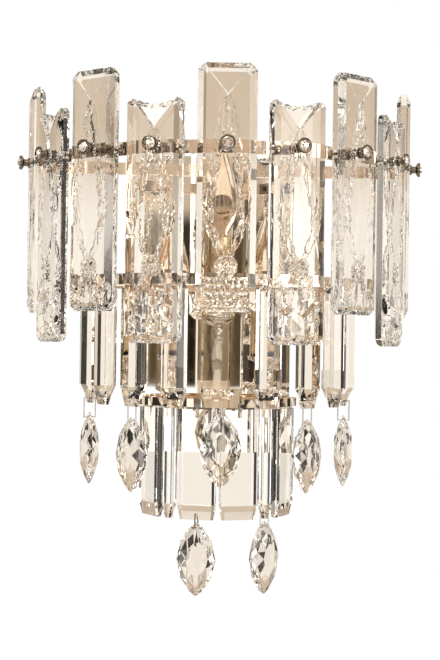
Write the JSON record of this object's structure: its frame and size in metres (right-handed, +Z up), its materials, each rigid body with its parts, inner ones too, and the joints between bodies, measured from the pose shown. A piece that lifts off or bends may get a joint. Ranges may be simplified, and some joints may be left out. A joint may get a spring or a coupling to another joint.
{
  "type": "crystal wall sconce",
  "caption": "Half-round tiered wall light with carved crystal slabs on a polished ring, hanging prisms and panels, marquise drops on wire links, and candle lamps inside.",
  "frame": {"origin": "on the wall, at the middle of the wall bracket's two screw holes and of the cable entry", "axes": "+Z up, +Y into the wall, front towards -Y"},
  "size_m": [0.3966, 0.221, 0.4848],
  "materials": {
    "crystal_slab": "polished crystal with a faint champagne tint",
    "crystal_prism": "polished crystal with a faint champagne tint",
    "crystal_panel": "polished crystal with a faint champagne tint",
    "crystal_drop": "polished faceted crystal",
    "wire": "polished nickel wire",
    "bulb_glass": "clear candle bulb with a warm tint",
    "candle_sleeve": "satin champagne sleeve",
    "bracket_steel": "zinc plated steel",
    "polished_plate": "mirror polished champagne gold",
    "polished_knobs": "polished champagne gold",
    "polished_metal": "polished champagne gold"
  },
  "bodies": {
    "fixture": {"back_plate": "polished_plate", "bar_left": "crystal_panel", "bar_right": "crystal_panel", "bulb_left": "bulb_glass", "bulb_right": "bulb_glass", "bulb_upper": "bulb_glass", "candle_sleeve_left": "candle_sleeve", "candle_sleeve_right": "candle_sleeve", "candle_sleeve_upper": "candle_sleeve", "frame_screws": "polished_metal", "hanger_studs": "polished_metal", "lamp_holder_left": "polished_metal", "lamp_holder_right": "polished_metal", "lamp_holder_upper": "polished_metal", "panel_inner_left": "crystal_panel", "panel_inner_right": "crystal_panel", "panel_outer_left": "crystal_panel", "panel_outer_right": "crystal_panel", "prism_1": "crystal_prism", "prism_2": "crystal_prism", "prism_3": "crystal_prism", "prism_4": "crystal_prism", "prism_5": "crystal_prism", "prism_6": "crystal_prism", "prism_7": "crystal_prism", "prism_8": "crystal_prism", "prism_9": "crystal_prism", "ring_bottom": "polished_metal", "ring_middle": "polished_metal", "ring_top": "polished_metal", "shaft_nuts": "polished_metal", "slab_1": "crystal_slab", "slab_2": "crystal_slab", "slab_3": "crystal_slab", "slab_4": "crystal_slab", "slab_5": "crystal_slab", "slab_6": "crystal_slab", "slab_7": "crystal_slab", "slab_8": "crystal_slab", "slab_9": "crystal_slab", "slab_knobs": "polished_knobs", "slab_shafts": "polished_metal", "wall_bracket": "bracket_steel"},
    "link_1": {"bail_1": "wire"},
    "pendant_1": {"drop_1": "crystal_drop"},
    "link_3": {"bail_3": "wire"},
    "pendant_3": {"drop_3": "crystal_drop"},
    "link_5": {"bail_5": "wire"},
    "pendant_5": {"drop_5": "crystal_drop"},
    "link_7": {"bail_7": "wire"},
    "pendant_7": {"drop_7": "crystal_drop"},
    "link_9": {"bail_9": "wire"},
    "pendant_9": {"drop_9": "crystal_drop"},
    "link_low_left": {"bail_low_left": "wire"},
    "pendant_low_left": {"drop_low_left": "crystal_drop"},
    "link_low_right": {"bail_low_right": "wire"},
    "pendant_low_right": {"drop_low_right": "crystal_drop"}
  },
  "joints": [
    {"name": "link_swing_1", "type": "hinge", "parent": "fixture", "child": "link_1", "pos_m": [-0.12507, -0.04205, -0.0944], "axis": [-0.9848, -0.1736, 0], "range_deg": [-20, 20]},
    {"name": "pendant_swing_1", "type": "hinge", "parent": "link_1", "child": "pendant_1", "pos_m": [-0.12507, -0.04205, -0.1134], "axis": [-0.9848, -0.1736, 0], "range_deg": [-25, 25]},
    {"name": "link_swing_3", "type": "hinge", "parent": "fixture", "child": "link_3", "pos_m": [-0.08163, -0.11729, -0.0944], "axis": [-0.6428, -0.766, 0], "range_deg": [-20, 20]},
    {"name": "pendant_swing_3", "type": "hinge", "parent": "link_3", "child": "pendant_3", "pos_m": [-0.08163, -0.11729, -0.1134], "axis": [-0.6428, -0.766, 0], "range_deg": [-25, 25]},
    {"name": "link_swing_5", "type": "hinge", "parent": "fixture", "child": "link_5", "pos_m": [0, -0.15, -0.0934], "axis": [0, -1, 0], "range_deg": [-20, 20]},
    {"name": "pendant_swing_5", "type": "hinge", "parent": "link_5", "child": "pendant_5", "pos_m": [0, -0.15, -0.1054], "axis": [0, -1, 0], "range_deg": [-25, 25]},
    {"name": "link_swing_7", "type": "hinge", "parent": "fixture", "child": "link_7", "pos_m": [0.08163, -0.11729, -0.0944], "axis": [0.6428, -0.766, 0], "range_deg": [-20, 20]},
    {"name": "pendant_swing_7", "type": "hinge", "parent": "link_7", "child": "pendant_7", "pos_m": [0.08163, -0.11729, -0.1134], "axis": [0.6428, -0.766, 0], "range_deg": [-25, 25]},
    {"name": "link_swing_9", "type": "hinge", "parent": "fixture", "child": "link_9", "pos_m": [0.12507, -0.04205, -0.0944], "axis": [0.9848, -0.1736, 0], "range_deg": [-20, 20]},
    {"name": "pendant_swing_9", "type": "hinge", "parent": "link_9", "child": "pendant_9", "pos_m": [0.12507, -0.04205, -0.1134], "axis": [0.9848, -0.1736, 0], "range_deg": [-25, 25]},
    {"name": "link_swing_low_left", "type": "hinge", "parent": "fixture", "child": "link_low_left", "pos_m": [-0.01971, -0.08873, -0.2024], "axis": [-0.2756, -0.9613, 0], "range_deg": [-20, 20]},
    {"name": "pendant_swing_low_left", "type": "hinge", "parent": "link_low_left", "child": "pendant_low_left", "pos_m": [-0.01971, -0.08873, -0.2144], "axis": [-0.2756, -0.9613, 0], "range_deg": [-25, 25]},
    {"name": "link_swing_low_right", "type": "hinge", "parent": "fixture", "child": "link_low_right", "pos_m": [0.04596, -0.07477, -0.2024], "axis": [0.6428, -0.766, 0], "range_deg": [-20, 20]},
    {"name": "pendant_swing_low_right", "type": "hinge", "parent": "link_low_right", "child": "pendant_low_right", "pos_m": [0.04596, -0.07477, -0.2144], "axis": [0.6428, -0.766, 0], "range_deg": [-25, 25]}
  ]
}
